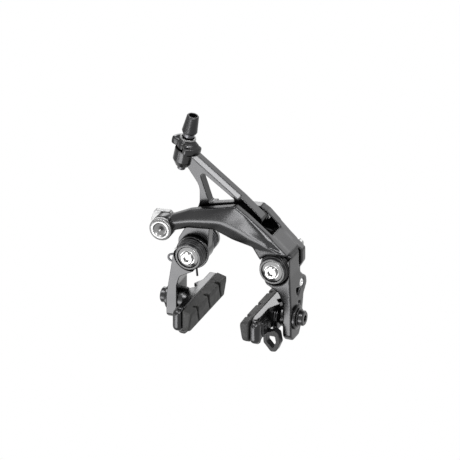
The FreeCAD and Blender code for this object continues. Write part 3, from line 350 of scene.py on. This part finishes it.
def flange(side):
    """A flange washer dished almost flush with the cap round it."""
    rim, thick = rim_and_length(f"flange_washer_{side}")
    revolved(f"flange_washer_{side}", [
        (rim * 0.47, 0, 0), (rim * 0.68, 0, 0), (rim * 0.7, 0.1, 0), (rim * 0.93, 0.7, 0),
        (rim * 0.98, 0.9, 0), (rim, 1.3, 0), (rim, thick, 0), (rim * 0.47, thick, 0)])


anchor_bolt()
for side in ("left", "right"):
    flange(side)


# Both arms, with the lines in millimetres along which the front arm is rounded most

PIVOT, ANCHOR_SPOT = 27.0, -44.2
RIDGE_DEPTH, FOLD_DEPTH = -32.6, -31.5
RIDGE = [(ANCHOR_SPOT + 5.2, RIDGE_DEPTH, 20.4), (ANCHOR_SPOT + 17.2, RIDGE_DEPTH, 23.4),
         (PIVOT - 33, RIDGE_DEPTH, 26.0), (PIVOT - 21, RIDGE_DEPTH, 22.8),
         (PIVOT - 8, RIDGE_DEPTH, 17.2)]
FOLD = [(PIVOT - 29, FOLD_DEPTH, 31.0), (PIVOT - 19, FOLD_DEPTH, 27.4),
        (PIVOT - 5.3, FOLD_DEPTH, 18.9)]
RIDGE_REACH, FOLD_REACH, LINE_FADE = 6.0, 5.2, 3.0
ROLLER_LOW, ROLLER_HIGH = (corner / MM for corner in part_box("coupling_roller"))
ROLLER_ROOM, ROLLER_FRONT_ROOM = 6.5, 4
ANCHOR_ARM_VOXEL, STOP_ARM_VOXEL = 0.3, 0.2
EDGE_ROUNDS, LINE_ROUNDS, STOP_ARM_ROUNDS = 50, 300, 14


def off_roller(spot):
    """0 in the roller's slot, whose walls stay as they are, and 1 elsewhere."""
    near = [max(ROLLER_LOW[i] - spot[i], spot[i] - ROLLER_HIGH[i]) for i in (0, 2)]
    in_slot = max(near) < ROLLER_ROOM and spot.y > ROLLER_LOW.y - ROLLER_FRONT_ROOM
    return 0 if in_slot else 1


def near_lines(spot):
    """1 or more beside the forged ridge and fold of the front arm, fading to 0 away from them."""
    share = 0
    for line, reach in ((RIDGE, RIDGE_REACH), (FOLD, FOLD_REACH)):
        for start, end in zip(line, line[1:]):
            start, along = Vector(start), Vector(end) - Vector(start)
            part = min(max((spot - start).dot(along) / along.length_squared, 0), 1)
            share = max(share, (reach - (spot - start - along * part).length) / LINE_FADE)
    return share


anchor_arm = dressed("anchor_arm", ANCHOR_ARM_VOXEL, 0)
worn_round(anchor_arm, off_roller, EDGE_ROUNDS)
worn_round(anchor_arm, near_lines, LINE_ROUNDS)
dressed("stop_arm", STOP_ARM_VOXEL, STOP_ARM_ROUNDS)


# Adjuster nut, in millimetres and radians; its levels are heights with their insets

NUT_BELOW_SEAT = 18.8
NUT_STEPS = 96
NUT_WING, NUT_VALLEY, NUT_HOLE, NUT_WALL = 10.0, 5.4, 3.9, 0.5
NUT_TURN = math.radians(40)
NUT_WING_HALF, NUT_FLANK = math.radians(36), math.radians(20)
NUT_LEVELS = [(0, 0.7), (0.1, 0.4), (0.5, 0), (4.0, 0), (4.3, 0.3), (4.6, 0.9), (4.75, 1.6),
              (4.8, 2.1), (5.4, 2.3), (5.8, 2.7), (6.4, 3.7), (6.9, 4.4), (6.95, 5.0)]


def wing_radius(turn):
    """Radius of the nut at an angle: wide at its two wings, with smooth flanks between."""
    away = abs((turn - NUT_TURN + math.pi / 2) % math.pi - math.pi / 2)
    rise = min(max((away - NUT_WING_HALF) / NUT_FLANK, 0), 1)
    rise = rise * rise * (3 - 2 * rise)
    return NUT_WING + (NUT_VALLEY - NUT_WING) * rise


def wing_nut():
    """Adjuster nut with two wings, stepped twice round its top edge."""
    seat = next(m for m in frame["record"]["mounts"] if m["name"] == "housing_seat")
    axis = Vector(seat["axis"]).normalized()
    if axis.z < 0:
        axis.negate()
    foot = Vector(seat["pos_m"]) - axis * (NUT_BELOW_SEAT * MM)
    side = axis.cross(Vector((0, 1, 0))).normalized()
    ahead = side.cross(axis).normalized()
    shape = bmesh.new()

    def ring(height, radius_at):
        turns = [2 * math.pi * step / NUT_STEPS for step in range(NUT_STEPS)]
        spots = [(side * math.cos(turn) + ahead * math.sin(turn)) * radius_at(turn)
                 for turn in turns]
        return [shape.verts.new(foot + (spot + axis * height) * MM) for spot in spots]

    rings = [ring(height, lambda turn: max(wing_radius(turn) - inset, NUT_HOLE + NUT_WALL))
             for height, inset in NUT_LEVELS]
    rings += [ring(height, lambda turn: NUT_HOLE)
              for height in (NUT_LEVELS[-1][0], NUT_LEVELS[0][0])]
    skin_rings(shape, rings)
    piece = object_of("adjuster_nut_dressed", shape)
    piece.data.materials.append(FINISH["adjuster_nut"])
    skin = piece.modifiers.new("even_skin", "SUBSURF")
    skin.levels = skin.render_levels = 1
    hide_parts("adjuster_nut")
    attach(piece, frame["nodes"]["adjuster_nut"]["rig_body"])


wing_nut()


# Brake shoes, in millimetres: water grooves of the insert and the holder's rounded nose

GROOVE_FIRST, GROOVE_STEP, GROOVES = 7.5, 17.6, 3
GROOVE_WIDTH, GROOVE_DEPTH, GROOVE_BEND = 2.1, 3.0, 6.5
GROOVE_SWEEP, GROOVE_TOP_SWEEP = 7.0, 3.5
GROOVE_PAST = 1
INSERT_SLOPE, INSERT_LIFT, INSERT_TOP_ROOM = 3.7, 2.0, 0.4
NOSE_WIDE, NOSE_LONG, NOSE_ROUND, NOSE_STEPS = 6.6, 8.0, 3.1, 6
NOSE_TOP, NOSE_LOW = -24.2, -38.2
FRONT_CUT, CUT_PAST = 3.4, 10
HOLDER_VOXEL, HOLDER_ROUNDS = 0.3, 20
INSERT_VOXEL, INSERT_ROUNDS = 0.22, 5
FRONT_REACH, FRONT_FADE, FRONT_ROUNDS = 9, 6, 160


def groove_cutter(side, number):
    """A bent slot across the braking face, as a solid to cut with."""
    low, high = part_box(f"pad_insert_{side}")
    sign = 1 if side == "right" else -1
    face = low.x if side == "right" else high.x
    rear = GROOVE_FIRST + GROOVE_STEP * number
    front = rear + GROOVE_WIDTH
    top, bottom = high.z / MM + GROOVE_PAST, low.z / MM - GROOVE_PAST
    bend = high.z / MM - GROOVE_BEND
    outline = [(front + GROOVE_TOP_SWEEP, top), (front, bend), (front - GROOVE_SWEEP, bottom),
               (rear - GROOVE_SWEEP, bottom), (rear, bend), (rear + GROOVE_TOP_SWEEP, top)]
    shape = bmesh.new()
    outside, inside = [
        [shape.verts.new((face + sign * out * MM, -depth * MM, up * MM)) for depth, up in outline]
        for out in (-GROOVE_PAST, GROOVE_DEPTH)]
    for step in range(len(outline)):
        after = (step + 1) % len(outline)
        shape.faces.new((outside[step], outside[after], inside[after], inside[step]))
    shape.faces.new(outside)
    shape.faces.new(inside[::-1])
    bmesh.ops.recalc_face_normals(shape, faces=shape.faces)
    return object_of("groove", shape)


def front_cutter(side):
    """A block that takes the holder's own front end away behind the rounded nose."""
    low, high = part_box(f"pad_holder_{side}")
    size = Vector((high.x - low.x + CUT_PAST * MM, 2 * FRONT_CUT * MM,
                   high.z - low.z + CUT_PAST * MM))
    middle = Vector(((low.x + high.x) / 2, low.y, (low.z + high.z) / 2))
    return object_of("front_cut", block(size, middle))


def lift_top(side):
    """A reshaping that lifts the insert's sloped top towards its braking face."""
    low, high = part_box(f"pad_insert_{side}")
    wide = high.x - low.x

    def reshape(mesh):
        for vertex in mesh.vertices:
            out = (high.x - vertex.co.x if side == "right" else vertex.co.x - low.x) / wide
            slope = high.z - INSERT_SLOPE * MM * out
            if abs(vertex.co.z - slope) < INSERT_TOP_ROOM * MM:
                vertex.co.z += INSERT_LIFT * MM * out
    return reshape


def holder_nose(side):
    """A rounded block that closes the holder's front end."""
    low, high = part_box(f"pad_holder_{side}")
    rubber_low, rubber_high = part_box(f"pad_insert_{side}")
    inner = rubber_high.x if side == "right" else rubber_low.x
    outer = inner + (NOSE_WIDE if side == "right" else -NOSE_WIDE) * MM
    size = Vector((abs(outer - inner), NOSE_LONG * MM, (NOSE_TOP - NOSE_LOW) * MM))
    middle = Vector(((inner + outer) / 2, low.y + NOSE_LONG * MM / 2,
                     (NOSE_TOP + NOSE_LOW) / 2 * MM))
    shape = block(size, middle)
    bmesh.ops.bevel(shape, geom=shape.edges[:], offset=NOSE_ROUND * MM, segments=NOSE_STEPS,
                    profile=0.5, affect="EDGES")
    piece = object_of(f"holder_nose_{side}", shape)
    piece.data.materials.append(FINISH[f"pad_holder_{side}"])
    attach(piece, f"shoe_{side}")


def shoe(side):
    """Nose, holder and insert; the last two are rounded more towards the front."""
    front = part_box(f"pad_holder_{side}")[0].y / MM
    holder_nose(side)
    holder = dressed(f"pad_holder_{side}", HOLDER_VOXEL, HOLDER_ROUNDS,
                     [front_cutter(side)])
    insert = dressed(f"pad_insert_{side}", INSERT_VOXEL, INSERT_ROUNDS,
                     [groove_cutter(side, number) for number in range(GROOVES)], lift_top(side))
    for piece in (holder, insert):
        worn_round(piece, lambda spot: (front + FRONT_REACH - spot.y) / FRONT_FADE, FRONT_ROUNDS)


for side in ("left", "right"):
    shoe(side)


# Floor, lights and camera, in metres

FLOOR, FLOOR_SIZE, FLOOR_ROUGHNESS = -0.9, 8, 0.9
FLOOR_GREY = (0.8, 0.8, 0.8, 1)
ROOM_GREY, ROOM_GLOW = (0.8, 0.8, 0.82, 1), 0.2
WHITE = (1, 1, 1, 1)

LIGHTS_AIM = Vector((-0.01, -0.02, 0.01))
# Each light's place, width, height and the glow of its face
LIGHTS = {
    "low_front": ((-0.32, -0.8, -0.44), 0.56, 0.36, 7.5),
    "low_left": ((-0.7, -0.58, -0.4), 0.12, 0.6, 7.0),
    "front": ((-0.1, -0.98, -0.1), 0.2, 0.2, 14.0),
    "back_right": ((0.38, 0.84, 0.38), 0.5, 0.4, 2.0),
    "brow": ((0.43, -0.69, 0.58), 0.3, 0.3, 17.0),
    "high_right": ((0.58, -0.25, 0.78), 0.3, 0.3, 12.0),
    "overhead": ((-0.33, -0.43, 0.84), 0.4, 0.3, 13.0),
    "back_left": ((-0.33, 0.84, 0.43), 0.36, 0.3, 5.0),
}

AZIMUTH, ELEVATION = math.radians(21.66), math.radians(25.5)
AIM = Vector((-0.0123, -0.00135, 0.0069))
FRAME_WIDTH = 0.2745
DISTANCE, CLIP_END = 2.4, 50.0


def seen_directly(tree):
    """1 for camera, glossy and transmission rays, and 0 for the rest."""
    path = add_node(tree, "ShaderNodeLightPath")
    total = path.outputs["Is Camera Ray"]
    for ray in ("Is Glossy Ray", "Is Transmission Ray"):
        either = add_node(tree, "ShaderNodeMath", operation="MAXIMUM")
        tree.links.new(total, either.inputs[0])
        tree.links.new(path.outputs[ray], either.inputs[1])
        total = either.outputs["Value"]
    return total


def make_stage():
    """A pale floor well below the caliper, which camera and reflections see as white."""
    bpy.ops.mesh.primitive_plane_add(size=FLOOR_SIZE, location=(0, 0, FLOOR))
    floor = bpy.context.object
    floor.name = "floor"
    material = bpy.data.materials.new("pale_floor")
    material.use_nodes = True
    tree = material.node_tree
    diffuse = tree.nodes["Principled BSDF"]
    diffuse.inputs["Base Color"].default_value = FLOOR_GREY
    diffuse.inputs["Roughness"].default_value = FLOOR_ROUGHNESS
    glow = add_node(tree, "ShaderNodeEmission")
    glow.inputs["Color"].default_value = WHITE
    glow.inputs["Strength"].default_value = 1.0
    mix = add_node(tree, "ShaderNodeMixShader")
    tree.links.new(seen_directly(tree), mix.inputs["Fac"])
    tree.links.new(diffuse.outputs["BSDF"], mix.inputs[1])
    tree.links.new(glow.outputs["Emission"], mix.inputs[2])
    tree.links.new(mix.outputs["Shader"], tree.nodes["Material Output"].inputs["Surface"])
    floor.data.materials.append(material)


def make_world():
    """Grey room light; camera and reflections see white behind the object."""
    world = bpy.data.worlds.new("studio")
    bpy.context.scene.world = world
    world.use_nodes = True
    tree = world.node_tree
    background = tree.nodes["Background"]
    background.inputs["Color"].default_value = ROOM_GREY
    background.inputs["Strength"].default_value = ROOM_GLOW
    white = add_node(tree, "ShaderNodeBackground")
    white.inputs["Color"].default_value = WHITE
    white.inputs["Strength"].default_value = 1.0
    mix = add_node(tree, "ShaderNodeMixShader")
    tree.links.new(seen_directly(tree), mix.inputs["Fac"])
    tree.links.new(background.outputs["Background"], mix.inputs[1])
    tree.links.new(white.outputs["Background"], mix.inputs[2])
    tree.links.new(mix.outputs["Shader"], tree.nodes["World Output"].inputs["Surface"])


def area_light(name, place, width, height, glow):
    """A soft rectangular light that looks at the caliper, by the glow of its face."""
    light = bpy.data.lights.new(name, "AREA")
    light.shape = "RECTANGLE"
    light.size = width
    light.size_y = height
    light.energy = glow * math.pi * width * height
    lamp = bpy.data.objects.new(name, light)
    bpy.context.collection.objects.link(lamp)
    lamp.location = place
    lamp.rotation_euler = (LIGHTS_AIM - Vector(place)).to_track_quat("-Z", "Y").to_euler()
    lamp.visible_camera = False


def make_camera():
    """Parallel camera at the photograph's angle."""
    back = Vector((math.sin(AZIMUTH) * math.cos(ELEVATION),
                   -math.cos(AZIMUTH) * math.cos(ELEVATION), math.sin(ELEVATION)))
    data = bpy.data.cameras.new("camera")
    data.type = "ORTHO"
    data.ortho_scale = FRAME_WIDTH
    data.clip_end = CLIP_END
    camera = bpy.data.objects.new("camera", data)
    bpy.context.collection.objects.link(camera)
    camera.location = AIM + back * DISTANCE
    camera.rotation_euler = (-back).to_track_quat("-Z", "Y").to_euler()
    bpy.context.scene.camera = camera


make_stage()
make_world()
for name, setting in LIGHTS.items():
    area_light(name, *setting)
make_camera()
bpy.context.scene.view_settings.view_transform = "Standard"
